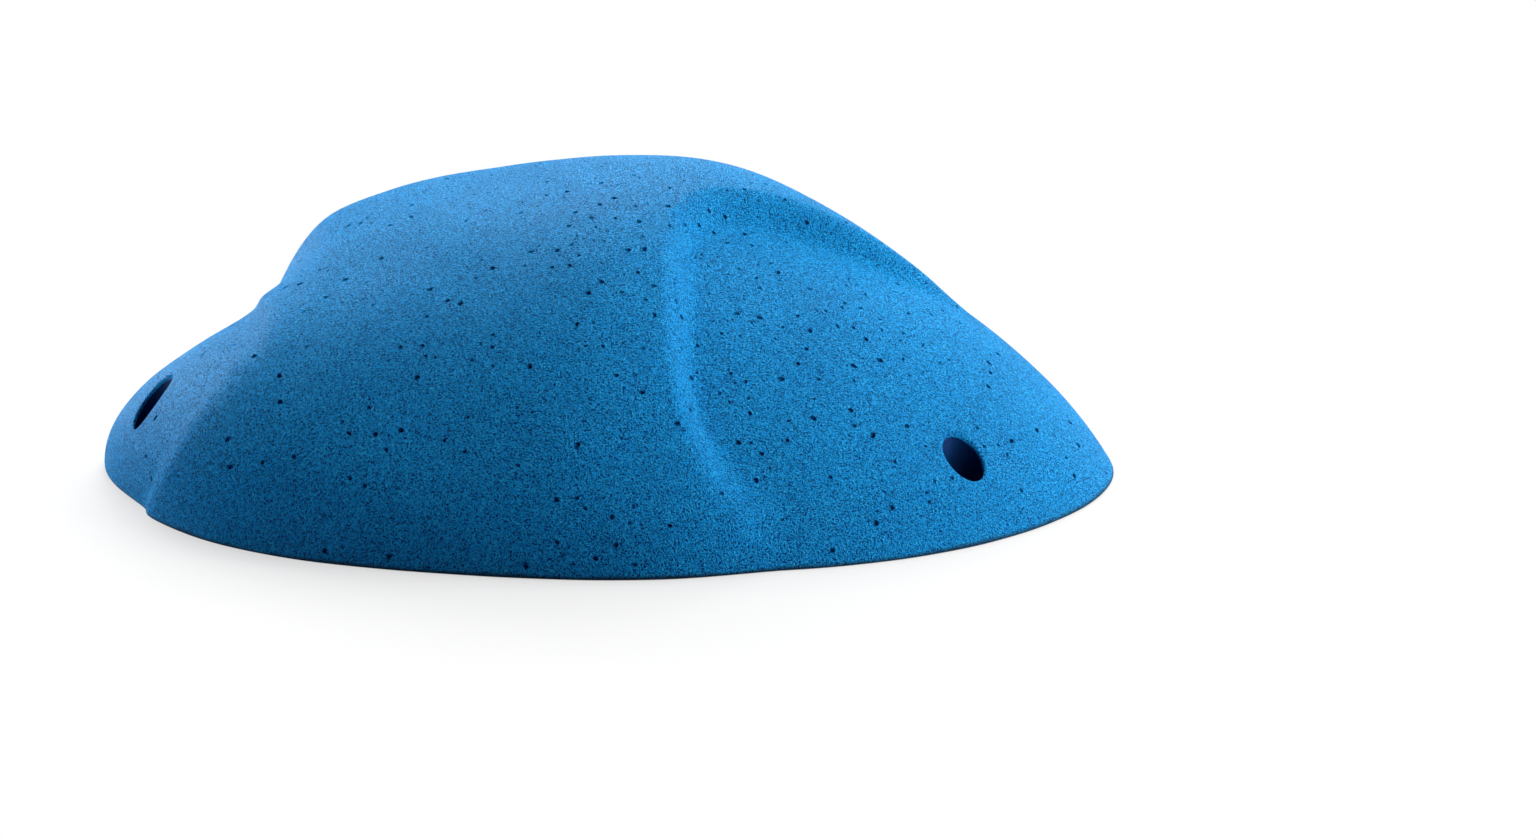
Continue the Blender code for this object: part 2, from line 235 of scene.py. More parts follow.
class HoldFinish(PropertyGroup):
    """Colours and grain of the materials, among them painted shade and painted highlights."""

    blue: colour("Blue", (0.003, 0.352, 0.900), "The polyurethane's skin")
    # Painted highlight on the grains' tops, partly their own paler tone
    blue_tone_and_highlight: colour("Pale blue", (0.036, 0.570, 1.000), "The shining tops of the grains")
    # Painted shade in the cells between the grains, partly their own darker tone; also random darker blotches
    blue_blotch_and_cell_shade: colour("Deep blue", (0.0003, 0.015, 0.140), "The cells between the grains")
    # Painted shade inside the pores, and darker clouds in the screw holes
    blue_recess_shade: colour("Pit blue", (0.0008, 0.014, 0.070), "The inside of pores and pits")
    # Painted shade inside the screw holes
    blue_bore_shade: colour("Bore blue", (0.0004, 0.022, 0.095), "The inside of the screw holes")
    blue_cut: colour("Sanded blue", (0.012, 0.220, 0.560), "The sanded wall face")
    # Painted shade along the skin's lower edge, darker down towards the wall face; the height is how far it
    # reaches up
    painted_edge_shade: colour("Rim dirt", (0.012, 0.014, 0.022), "The dirt at the edge on the wall face")
    painted_edge_shade_height: size("Rim dirt height", 0.0022, "How far the dirt reaches up the edge")
    zinc: colour("Zinc", (0.62, 0.63, 0.64), "The plated steel")
    zinc_dull: colour("Dull zinc", (0.46, 0.45, 0.43), "Its dull patches")
    cell: size("Grain cell", 0.00080, "Width of one grain of the foam that was cast from")
    grain_height: size("Grain height", 0.00090, "Height of the grains")
    pore_cell: size("Pore cell", 0.0052, "Average distance between pores")
    skin_roughness: fraction("Skin roughness", 0.45, "Roughness of the grained skin")
    skin_sheen: fraction("Skin sheen", 0.12, "How much soft light the grain sends back at a low angle")
    sheen_blue: colour("Sheen blue", (0.25, 0.75, 1.0), "Colour of that light")
    skin_specular: fraction("Skin specular", 0.01, "How strongly the skin mirrors the lamps, 0.5 as glass")
    moulded_specular: fraction("Moulded specular", 0.30, "The same in the hollow back")
    bore_specular: fraction("Bore specular", 0.05, "The same in the screw holes")


class HoldStudio(PropertyGroup):
    """Camera, lamps and floor."""

    aim: vector("Aim", (0.065, 0.0, 0.005), "Point in the lobes' frame that the camera faces",
                subtype="TRANSLATION", unit="LENGTH")
    distance: size("Distance", 1.300, "From the camera to that point")
    pitch: tilt("Pitch", 16.6, "How far the camera looks down")
    lens: FloatProperty(name="Lens", default=76.17, description="Focal length in millimetres")
    lamp_size: size("Lamp size", 0.9, "Side of each softbox")
    lamp_distance: size("Lamp distance", 1.6, "From each softbox to the middle of the hold")
    floor_radius: size("Floor radius", 6.0, "Radius of the floor")
    floor_seen: colour("Floor seen", (0.76, 0.76, 0.76), "The floor near the hold, as seen")
    floor_bounce: colour("Floor bounce", (0.23, 0.24, 0.32), "The floor as it lights the hold")


def washer_place(name):
    """Middle of a washer in plan and the height of its underside, read from the frame."""
    low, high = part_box(f"washer_{name}")
    return np.array([(low.x + high.x) / 2, (low.y + high.y) / 2, low.z])


def axis_distance(points, name):
    """How far points lie from a washer's axis."""
    return np.hypot(*(points - washer_place(name))[:, :2].T)


def design_shift():
    """What is added to a point of the lobes' frame to give the part's frame."""
    return np.append(washer_place("left")[:2] - DESIGN_LEFT_SCREW, 0)


# Outer surface


def unit(vectors):
    """Vectors brought to length 1."""
    return vectors / np.linalg.norm(vectors, axis=-1, keepdims=True)


def directions(azimuth, rise):
    """Lines at an azimuth and a rise in radians, stretched by the grid's proportions."""
    flat = np.cos(rise)
    return np.stack([flat * np.cos(azimuth), flat * np.sin(azimuth), np.sin(rise)], -1) * GRID_PROPORTIONS


def turning(turn):
    """Rotation matrix: roll about X, then tilt about Y, then heading about Z."""
    a, b, c = turn
    about_x = np.array([[1, 0, 0], [0, math.cos(a), -math.sin(a)], [0, math.sin(a), math.cos(a)]])
    about_y = np.array([[math.cos(b), 0, math.sin(b)], [0, 1, 0], [-math.sin(b), 0, math.cos(b)]])
    about_z = np.array([[math.cos(c), -math.sin(c), 0], [math.sin(c), math.cos(c), 0], [0, 0, 1]])
    return about_z @ about_y @ about_x


def lobe_distance(points, lobe, softness):
    """Distance from each point to a lobe's surface, negative inside.

    With x, y and z measured in half sizes, the surface is (x^p + y^p)^(q/p) + z^q = 1, where p and q are
    the lobe's powers. The value over its slope is close to a distance near the surface.
    """
    half = np.array(lobe.half_size)
    p, q = lobe.powers
    local = (points - np.array(lobe.centre)) @ turning(lobe.turn)
    x, y, z = np.moveaxis(np.sqrt((local / half) ** 2 + softness ** 2), -1, 0)
    x_term, y_term, z_term = x ** p, y ** p, z ** q
    plan = x_term + y_term
    around = plan ** (q / p)
    total = around + z_term
    value = total ** (1 / q)
    share = value / total
    slope = np.stack([
        share * around / plan * x_term / x ** 2 * local[..., 0] / half[0] ** 2,
        share * around / plan * y_term / y ** 2 * local[..., 1] / half[1] ** 2,
        share * z_term / z ** 2 * local[..., 2] / half[2] ** 2,
    ], -1)
    return (value - 1) / (np.linalg.norm(slope, axis=-1) + 1e-6)


def blend_union(first, second, blend):
    """The nearer of two distances, with a fillet where they differ by less than the blend."""
    overlap = np.maximum(blend - abs(first - second), 0)
    return np.minimum(first, second) - overlap ** 2 / (4 * blend)


def blend_cut(first, second, blend):
    """What is inside both shapes, with its edge rounded by the blend."""
    return -blend_union(-first, -second, blend)


def ease(value):
    """Smooth step from 0 to 1."""
    value = np.clip(value, 0, 1)
    return value * value * (3 - 2 * value)


def grip_distance(points, shape):
    """Distance to the gripping face: a cone about an upright axis, with its side hollowed by half a sine."""
    height = points[..., 2]
    hollow = shape.grip_hollow * np.sin(math.pi * np.clip(height / shape.grip_hollow_height, 0, 1))
    radius = shape.grip_radius - np.maximum(height, 0) * math.tan(shape.grip_lean) - hollow
    out = np.hypot(points[..., 0] - shape.grip_axis[0], points[..., 1] - shape.grip_axis[1]) - radius
    return out * math.cos(shape.grip_lean)


def waves(points, height):
    """Slow unevenness: the average of three sines that run in slanting directions, 24 to 52 mm long."""
    runs = np.array([[1.0, 0.4, 0.7], [-0.5, 1.0, 0.3], [0.3, -0.6, 1.0]])
    runs *= (2 * math.pi / np.array([0.024, 0.037, 0.052]) / np.linalg.norm(runs, axis=1))[:, None]
    return height * np.sin(points @ runs.T + np.array([0.3, 1.9, 4.1])).mean(-1)


def crease_share(points, shape):
    """How far a point lies out across the wall of the right crease: 0 at the wall's foot and 1 at its top.

    In plan the foot is the oval x^p + y^p = 1, with x and y measured in half sizes. The distance out from
    it is divided by the wall's width, which is the side width where the oval faces along the hold and the
    back width where it faces across the hold.
    """
    half, p = np.array(shape.crease_half), shape.crease_power
    local = (points[..., :2] - np.array(shape.crease_centre)) / half
    local = np.hypot(local, shape.crease_softness)
    value = (local ** p).sum(-1) ** (1 / p)
    slope = local ** (p - 1) / half
    widths = np.array([shape.right_crease_width, shape.right_crease_back])
    return (value - 1) * value ** (p - 1) / np.linalg.norm(slope * widths, axis=-1)


def hold_distance(points, shape, waved=True):
    """Distance to the outer surface, negative inside, for points in the part's frame.

    The main body is a blend of three lobes. It drops by the right crease's depth across the crease's wall,
    and dips along the left wing. The wings are joined to it, and the gripping face is cut off behind.
    """
    points = points - design_shift()
    height = points[..., 2]
    lobes = {name: lobe_distance(points, getattr(shape, name), shape.softness)
             for name in ("main_body", "shoulder", "crest", "right_wing", "left_wing")}
    right = blend_cut(lobes["right_wing"], shape.right_root - points[..., 0], shape.right_root_blend)
    left = blend_cut(lobes["left_wing"], points[..., 0] - shape.left_root, shape.left_root_blend)
    body = blend_union(lobes["main_body"], lobes["shoulder"], shape.main_blend)
    body = blend_union(body, lobes["crest"], shape.crest_blend)
    fade = ease(height / shape.right_crease_fade)
    fade = fade * (1 - ease((height - shape.right_crease_top) / shape.right_crease_runout))
    body = body + shape.right_crease_depth * fade * (1 - ease(crease_share(points, shape)))
    body = body + shape.left_crease_depth * (1 - ease(left / shape.left_crease_width))
    whole = blend_union(blend_union(body, right, shape.right_fillet), left, shape.left_fillet)
    whole = blend_cut(whole, grip_distance(points, shape), shape.lip_blend)
    return whole + waves(points, shape.wave) if waved else whole


def crossing(start, lines, distance):
    """Where each line from start leaves the solid, found by halving the stretch that holds the crossing."""
    near = np.zeros(lines.shape[:-1])
    far = np.full(lines.shape[:-1], REACH)
    for _ in range(HALVINGS):
        middle = (near + far) / 2
        inside = distance(start + lines * middle[..., None]) < 0
        near = np.where(inside, middle, near)
        far = np.where(inside, far, middle)
    return start + lines * near[..., None]


def outward(points, distance):
    """Unit normals: the slope of the distance, from its difference over a small step each way."""
    steps = np.eye(3) * SLOPE_STEP
    return unit(np.stack([distance(points + step) - distance(points - step) for step in steps], -1))


def dome_lines(steps):
    """Unit lines over the upper half space: a square grid bent into a disc, ring by ring.

    A point's ring, from 0 in the middle to 1 at the border, becomes its angle down from straight up, and
    its place along the ring's side becomes the azimuth, 45 degrees for each half side. The ellipsoid's
    proportions then turn the lines towards where the hold is longest.
    """
    side = np.linspace(-1, 1, 2 * steps + 1)
    u, v = np.meshgrid(side, side, indexing="ij")
    ring = np.maximum(abs(u), abs(v))
    safe = np.where(ring == 0, 1, ring)
    across = np.where(u >= 0, v, -v) / safe * math.pi / 4 + np.where(u >= 0, 0, math.pi)
    along = np.where(v >= 0, -u, u) / safe * math.pi / 4 + np.where(v >= 0, 0.5, 1.5) * math.pi
    lines = directions(np.where(abs(u) >= abs(v), across, along), (1 - ring) * math.pi / 2)
    lines[..., 2] = np.where(ring == 1, 0, lines[..., 2])
    return unit(lines)


# Meshes from grids


def quads(index):
    """Four-cornered faces of a grid of vertex numbers."""
    corners = index[:-1, :-1], index[1:, :-1], index[1:, 1:], index[:-1, 1:]
    return np.stack(corners, -1).reshape(-1, 4).tolist()


def wrapped(index):
    """The grid with its first column repeated at the end, so that it closes on itself."""
    return np.concatenate([index, index[:, :1]], axis=1)


def border(index):
    """Vertex numbers round the edge of a square grid, in order."""
    return np.concatenate([index[:-1, 0], index[-1, :-1], index[:0:-1, -1], index[0, :0:-1]])


def closed_mesh(name, points, faces):
    """Mesh of one or more closed surfaces, with its faces turned outwards."""
    mesh = bpy.data.meshes.new(name)
    mesh.from_pydata(points.tolist(), [], faces)
    shape = bmesh.new()
    shape.from_mesh(mesh)
    bmesh.ops.recalc_face_normals(shape, faces=shape.faces)
    shape.to_mesh(mesh)
    shape.free()
    return mesh


def add_object(name, mesh):
    made = bpy.data.objects.new(name, mesh)
    bpy.context.scene.collection.objects.link(made)
    return made


def smooth(mesh):
    mesh.shade_smooth()
    mesh.set_sharp_from_angle(angle=SHARP_ANGLE)


def carve(target, cutter):
    """Cuts one mesh from another for good, and deletes the cutter."""
    step = target.modifiers.new(cutter.name, "BOOLEAN")
    step.operation = "DIFFERENCE"
    step.solver = "EXACT"
    step.object = cutter
    graph = bpy.context.evaluated_depsgraph_get()
    cut = bpy.data.meshes.new_from_object(target.evaluated_get(graph), depsgraph=graph)
    target.modifiers.clear()
    old, spent = target.data, cutter.data
    target.data = cut
    cut.name = target.name
    bpy.data.meshes.remove(old)
    bpy.data.objects.remove(cutter)
    if not spent.users:
        bpy.data.meshes.remove(spent)


def turned_points(profile, segments):
    """Points of a profile of (radius, height) pairs turned about the Z axis, ring by ring."""
    profile = np.array(profile)
    angle = np.arange(segments) * 2 * math.pi / segments
    return np.stack([
        profile[:, :1] * np.cos(angle),
        profile[:, :1] * np.sin(angle),
        np.repeat(profile[:, 1:], segments, axis=1),
    ], -1)


def capped_rings(name, rings):
    """Closed mesh of a stack of rings, with a flat face on the first and the last."""
    index = np.arange(rings.shape[0] * rings.shape[1]).reshape(rings.shape[:2])
    faces = quads(wrapped(index)) + [index[0].tolist(), index[-1].tolist()]
    return closed_mesh(name, rings.reshape(-1, 3), faces)


# Casting


def dome_mesh(name, start, steps, distance, lower_rings):
    """Closed mesh of the surface above a start, with a flat face below.

    The last function is given the edge of the surface and makes the rings between the two.
    """
    grid = crossing(start, dome_lines(steps), distance)
    index = np.arange(grid.shape[0] * grid.shape[1]).reshape(grid.shape[:2])
    rim = border(index)
    points = grid.reshape(-1, 3)
    lower = list(lower_rings(points[rim]))
    rings = np.concatenate([rim, index.size + np.arange(len(lower) * len(rim))]).reshape(-1, len(rim))
    faces = quads(index) + quads(wrapped(rings)) + [rings[-1].tolist()]
    return closed_mesh(name, np.concatenate([points, *lower]), faces)


def skin_mesh(shape):
    """Outer surface of the hold, with a rounded edge down to the wall face, closed underneath.

    The grid ends at the height of the edge's rounding. Below it, a quarter circle of rings draws the
    surface in: at angle t each ring is r(1 - sin t) high and r(1 - cos t) in from the surface there.
    """
    round_size = shape.edge_round

    def distance(points):
        return hold_distance(points, shape)

    def edge_rings(edge):
        lines = unit(edge * (1, 1, 0))
        for turn in np.radians(EDGE_TURNS):
            height = np.array([0, 0, round_size * (1 - math.sin(turn))])
            yield crossing(height, lines, distance) - lines * round_size * (1 - math.cos(turn))

    return dome_mesh("hold_casting", np.array([0, 0, round_size]), shape.skin_steps, distance, edge_rings)


def add_hollow_cutter(shape, flange_radius):
    """The hollow back: the surface that lies a wall's thickness inside, less the ribs and the bosses."""
    hollow = add_object("hollow_cutter", dome_mesh(
        "hollow_cutter", np.zeros(3), shape.hollow_steps,
        lambda points: hold_distance(points, shape, waved=False) + shape.wall,
        lambda edge: [edge * (1, 1, 0) - (0, 0, CUT_MARGIN)]))
    for number, place in enumerate(shape.rib_places):
        middle, half = place + design_shift()[0], shape.rib_thickness / 2
        corners = np.array([(-half, -REACH), (half, -REACH), (half, REACH), (-half, REACH)]) + (middle, 0)
        rings = [np.column_stack([corners, np.full(4, z)]) for z in (-2 * CUT_MARGIN, REACH)]
        carve(hollow, add_object(f"rib_{number}", capped_rings(f"rib_{number}", np.array(rings))))
    radius = flange_radius + shape.piece_gap + shape.boss_wall
    for name in WASHERS:
        rings = turned_points([(radius, -2 * CUT_MARGIN), (radius, REACH)], BOSS_SEGMENTS)
        rings = rings + washer_place(name) * (1, 1, 0)
        carve(hollow, add_object(f"boss_{name}", capped_rings(f"boss_{name}", rings)))
    return hollow


def mouth_rings(shape, middle):
    """Rings of a screw hole's rounded mouth, from the bore's wall out to the skin.

    At each distance from the axis the ring's height is where the skin, cut by the bore's wall with a
    rounding, is crossed on the way up. The last ring lies a little above the skin.
    """
    across = turned_points([(1, 0)], HOLE_SEGMENTS)[0]
    bore, rounding = shape.head_bore_radius, shape.mouth_round

    def rounded(points):
        off_wall = bore - np.hypot(points[..., 0] - middle[0], points[..., 1] - middle[1])
        return blend_cut(hold_distance(points, shape), np.minimum(off_wall, 0), rounding)

    spread = bore + rounding * np.linspace(0, 1, MOUTH_RINGS) ** 2
    feet = middle * (1, 1, 0) + across * spread[:, None, None] + (0, 0, CUT_MARGIN)
    feet = np.concatenate([feet, [feet[-1] + across * shape.edge_round]])
    rings = crossing(feet, np.broadcast_to([0.0, 0.0, 1.0], feet.shape), rounded)
    rings[-1] += (0, 0, shape.piece_gap)
    return rings


def hole_cutter_mesh(shape, washer, name):
    """Cutter for one screw hole: screw bore, washer's groove, head bore and rounded mouth."""
    middle = washer_place(name)
    gap = shape.piece_gap
    groove = washer.flange_radius + gap
    floor, roof = middle[2] - gap, middle[2] + washer.flange_thickness + gap
    profile = [(shape.screw_bore_radius, -CUT_MARGIN), (shape.screw_bore_radius, floor), (groove, floor),
               (groove, roof), (shape.head_bore_radius, roof)]
    lower = turned_points(profile, HOLE_SEGMENTS) + middle * (1, 1, 0)
    mouth = mouth_rings(shape, middle)
    top = mouth[-1] * (1, 1, 0) + (0, 0, REACH)
    return capped_rings(f"hole_{name}", np.concatenate([lower, mouth, top[None]]))


def pit_places(shape):
    """Seeded random places for pits: points on the skin, their normals and the pits' radii.

    Pits gather on the lower front, and keep clear of each other, the screw holes and the edge.
    """
    def distance(points):
        return hold_distance(points, shape)

    random = np.random.default_rng(PLACE_SEED)
    tries = shape.pit_count * PIT_TRIES
    lines = directions(random.uniform(0, 2 * math.pi, tries), np.arcsin(random.uniform(0, 1, tries)))
    points = crossing(np.zeros(3), unit(lines), distance)
    radii = shape.pit_radius * np.exp(random.normal(0, shape.pit_radius_spread, tries))
    radii = np.clip(radii, *PIT_RADII)
    near = np.exp(-(((points[:, :2] - PIT_PATCH) / PIT_SPREAD) ** 2).sum(-1))
    keep = (random.uniform(0, 1, tries) < PIT_SHARE + (1 - PIT_SHARE) * near) & (points[:, 2] > PIT_EDGE_ROOM)
    for name in WASHERS:
        keep &= axis_distance(points, name) > shape.head_bore_radius + shape.mouth_round + PIT_HOLE_ROOM
    points, radii = points[keep], radii[keep]
    chosen = [0]
    for number in range(1, len(points)):
        if len(chosen) == shape.pit_count:
            break
        apart = np.linalg.norm(points[chosen] - points[number], axis=-1)
        if (apart > PIT_SPACING * (radii[number] + radii[chosen])).all():
            chosen.append(number)
    return points[chosen], outward(points[chosen], distance), radii[chosen]


def pit_cutter_mesh(shape):
    """Small lopsided balls, sunk a little into the skin at each pit.

    A ball is a grid of latitude and longitude closed at both poles. It is stretched by up to half along
    the skin and by a tenth across it, and its middle lies a fifth of its radius below the skin.
    """
    points, normals, radii = pit_places(shape)
    random = np.random.default_rng(SHAPE_SEED)
    latitude = np.radians([-45, 0, 45])
    belt = turned_points(np.column_stack([np.cos(latitude), np.sin(latitude)]), PIT_SEGMENTS)
    ball = np.concatenate([belt.reshape(-1, 3), [[0, 0, -1], [0, 0, 1]]])
    index = wrapped(np.arange(3 * PIT_SEGMENTS).reshape(3, -1))
    low_pole = np.column_stack([np.full(PIT_SEGMENTS, len(ball) - 2), index[0, 1:], index[0, :-1]])
    high_pole = np.column_stack([np.full(PIT_SEGMENTS, len(ball) - 1), index[2, :-1], index[2, 1:]])
    faces = quads(index) + low_pole.tolist() + high_pole.tolist()
    sideways = unit(np.cross(normals, random.normal(size=normals.shape)))
    stretch = 1 + random.uniform(0, 0.5, len(radii))
    axes = np.stack([sideways * stretch[:, None], np.cross(normals, sideways), normals * 1.1], 1)
    middles = points - normals * (0.2 * radii)[:, None]
    all_points = middles[:, None] + (ball @ axes) * radii[:, None, None]
    firsts = range(0, len(radii) * len(ball), len(ball))
    all_faces = [[first + corner for corner in face] for first in firsts for face in faces]
    return closed_mesh("pits", all_points.reshape(-1, 3), all_faces)


def sort_faces(mesh, shape):
    """Gives each face its material: wall face, moulded inside, bore of a hole, or the grained skin."""
    middle, normal = np.empty((2, len(mesh.polygons), 3))
    mesh.polygons.foreach_get("center", middle.ravel())
    mesh.polygons.foreach_get("normal", normal.ravel())
    slots = np.full(len(middle), SKIN)
    slots[hold_distance(middle, shape) < -INSIDE_DEPTH] = MOULDED
    for name in WASHERS:
        near = axis_distance(middle, name) < shape.head_bore_radius + ON_BORE
        slots[near & (abs(normal[:, 2]) < UPRIGHT)] = BORE
    slots[(middle[:, 2] < ON_WALL_FACE) & (normal[:, 2] < -LEVEL)] = WALL_FACE
    mesh.polygons.foreach_set("material_index", slots.astype(np.int32))


# Washers


def rounded_profile(corners, radius):
    """Loop of (radius, height) points, with a quarter circle at each corner that is marked to be rounded."""
    points = []
    for number, (x, y, rounded) in enumerate(corners):
        if not rounded:
            points.append((x, y))
            continue
        before = unit(np.array(corners[number - 1][:2]) - (x, y))
        after = unit(np.array(corners[(number + 1) % len(corners)][:2]) - (x, y))
        middle = np.array([x, y]) + radius * (before + after)
        for turn in np.radians([0, 30, 60, 90]):
            points.append(tuple(middle - radius * (after * math.cos(turn) + before * math.sin(turn))))
    return np.array(points)


def washer_mesh(name, profile, place):
    """Turned ring: the closed profile carried round the Z axis, with a UV map of angle and radius."""
    rings = turned_points(profile, ROUND_SEGMENTS)
    index = np.arange(rings.shape[0] * ROUND_SEGMENTS).reshape(-1, ROUND_SEGMENTS)
    loop = np.concatenate([index, index[:1]])
    mesh = closed_mesh(name, rings.reshape(-1, 3) + place, quads(wrapped(loop)))
    corner_points = np.empty(len(mesh.loops), dtype=np.int32)
    mesh.loops.foreach_get("vertex_index", corner_points)
    flat = rings.reshape(-1, 3)[corner_points]
    angle = np.arctan2(flat[:, 1], flat[:, 0]) / (2 * math.pi)
    radius = np.hypot(flat[:, 0], flat[:, 1]) / profile[:, 0].max()
    mesh.uv_layers.new(name="turned").uv.foreach_set("vector", np.stack([angle, radius], -1).ravel())
    return mesh


# Materials


class Tree:
    """Empties the tree of a material, a world or a node group, then adds and links shader nodes."""

    def __init__(self, tree):
        self.nodes, self.links = tree.nodes, tree.links
        self.nodes.clear()

    def add(self, kind, settings=None, **inputs):
        """Adds a node. An input, named or n and its number, takes a value or a node's output."""
        node = self.nodes.new(kind)
        for name, value in (settings or {}).items():
            setattr(node, name, value)
        for name, value in inputs.items():
            key = int(name[1:]) if name[0] == "n" and name[1:].isdigit() else name.replace("_", " ")
            self.plug(node.inputs[key], value)
        return node

    def plug(self, socket, value):
        if isinstance(value, bpy.types.NodeSocket):
            self.links.new(value, socket)
        else:
            socket.default_value = value

    def math(self, operation, first, second=0.0, third=0.0):
        return self.add("ShaderNodeMath", {"operation": operation}, n0=first, n1=second, n2=third).outputs[0]

    def times(self, first, second):
        return self.math("MULTIPLY", first, second)

    def between(self, value, low, high, start=0.0, end=1.0):
        """Maps a value smoothly from one range to another, held at both ends."""
        return self.add("ShaderNodeMapRange", {"interpolation_type": "SMOOTHSTEP"}, Value=value, From_Min=low,
                        From_Max=high, To_Min=start, To_Max=end).outputs[0]

    def mix(self, share, first, second):
        """Mixes two colours."""
        node = self.add("ShaderNodeMix", {"data_type": "RGBA"}, n0=share)
        for number, value in ((6, first), (7, second)):
            self.plug(node.inputs[number], value if isinstance(value, bpy.types.NodeSocket) else (*value, 1))
        return node.outputs[2]

    def noise(self, place, scale, **more):
        """Value of a three-dimensional noise, from 0 to 1."""
        return self.add("ShaderNodeTexNoise", None, Vector=place, Scale=scale, **more).outputs[0]

    def group(self, group, **inputs):
        """Outputs of a node group."""
        return self.add("ShaderNodeGroup", {"node_tree": group}, **inputs).outputs

    def surface(self, shader, base, roughness, height, depth):
        """Gives a shader its colour, roughness and relief. The relief's depth is in metres."""
        bump = self.add("ShaderNodeBump", Height=height, Distance=depth, Strength=1.0)
        for name, value in (("Base Color", base), ("Roughness", roughness), ("Normal", bump.outputs[0])):
            self.plug(shader.inputs[name], value)

    def place(self):
        """Place on the object, in metres."""
        return self.nodes.new("ShaderNodeTexCoord").outputs["Object"]

    def straight_ray(self):
        """1 where the camera looks, also through glass or in a mirror, and 0 for light on its way."""
        path = self.nodes.new("ShaderNodeLightPath").outputs
        return self.math("MAXIMUM", path["Is Camera Ray"],
                         self.math("MAXIMUM", path["Is Glossy Ray"], path["Is Transmission Ray"]))

    def finish(self, kind, output):
        """Adds the material's or the world's output."""
        self.links.new(output, self.nodes.new(kind).inputs["Surface"])


def new_group(name, inputs, outputs):
    """Empty shader node group with float or vector inputs and float outputs."""
    group = bpy.data.node_groups.new(name, "ShaderNodeTree")
    for label, value in inputs:
        kind = "NodeSocketVector" if value is None else "NodeSocketFloat"
        socket = group.interface.new_socket(label, in_out="INPUT", socket_type=kind)
        if value is not None:
            socket.default_value = value
    for label in outputs:
        group.interface.new_socket(label, in_out="OUTPUT", socket_type="NodeSocketFloat")
    tree = Tree(group)
    return group, tree, tree.nodes.new("NodeGroupInput").outputs, tree.nodes.new("NodeGroupOutput").inputs


def grain_group():
    """Imprint of fine foam: worm-like ridges with small dark cells between them.

    The ridges follow the lines on which a noise is at its middle value. A second noise breaks them up.
    Cells marks where the skin gets painted shade, and Glint where it gets a painted highlight.
    """
    group, tree, given, out = new_group("Foam grain", [("Place", None), ("Cell", 0.0009)],
                                        ["Height", "Cells", "Glint"])
    scale = tree.math("DIVIDE", 1.0, given["Cell"])
    worms = tree.noise(given["Place"], scale, Detail=0.0, Distortion=0.35)
    breaks = tree.noise(given["Place"], tree.times(scale, 1.3), Detail=2.0, Roughness=0.7)
    ridge = tree.between(tree.math("ABSOLUTE", tree.math("SUBTRACT", worms, 0.5)), 0.0, 0.13, 1.0, 0.0)
    lump = tree.between(breaks, 0.34, 0.66)
    height = tree.math("ADD", tree.times(ridge, 0.45), tree.times(lump, 0.55))
    tree.plug(out["Height"], height)
    tree.plug(out["Cells"], tree.between(height, 0.12, 0.38, 1.0, 0.0))
    tree.plug(out["Glint"], tree.between(height, 0.55, 0.95))
    return group


def pore_group():
    """Scattered round pores, in patches: each cell of a Voronoi pattern may hold one, of its own size.

    The radius is a share of the cell. Inside marks where a pore gets painted shade.
    """
    group, tree, given, out = new_group("Open pores", [("Place", None), ("Cell", 0.005), ("Radius", 0.09)],
                                        ["Height", "Inside"])
    scale = tree.math("DIVIDE", 1.0, given["Cell"])
    cells = tree.add("ShaderNodeTexVoronoi", {"feature": "F1"}, Vector=given["Place"], Scale=scale)
    patch = tree.noise(given["Place"], tree.times(scale, 0.12), Detail=1.0)
    split = tree.add("ShaderNodeSeparateColor", Color=cells.outputs["Color"])
    lot = tree.math("ADD", split.outputs[0], tree.between(patch, 0.35, 0.65, -0.35, 0.20))
    radius = tree.times(given["Radius"], tree.between(lot, 0.30, 1.10))
    depth = tree.math("DIVIDE", cells.outputs["Distance"], tree.math("MAXIMUM", radius, 0.001))
    tree.plug(out["Height"], tree.between(depth, 0.45, 1.0))
    tree.plug(out["Inside"], tree.between(depth, 0.55, 1.05, 1.0, 0.0))
    return group


def open_tree(owner):
    """Empty tree of a material or a world."""
    owner.use_nodes = True
    return Tree(owner.node_tree)


def new_material(name):
    """Material with a Principled shader, and the tree to add to."""
    made = bpy.data.materials.new(name)
    tree = open_tree(made)
    shader = tree.nodes.new("ShaderNodeBsdfPrincipled")
    tree.finish("ShaderNodeOutputMaterial", shader.outputs[0])
    return made, tree, shader


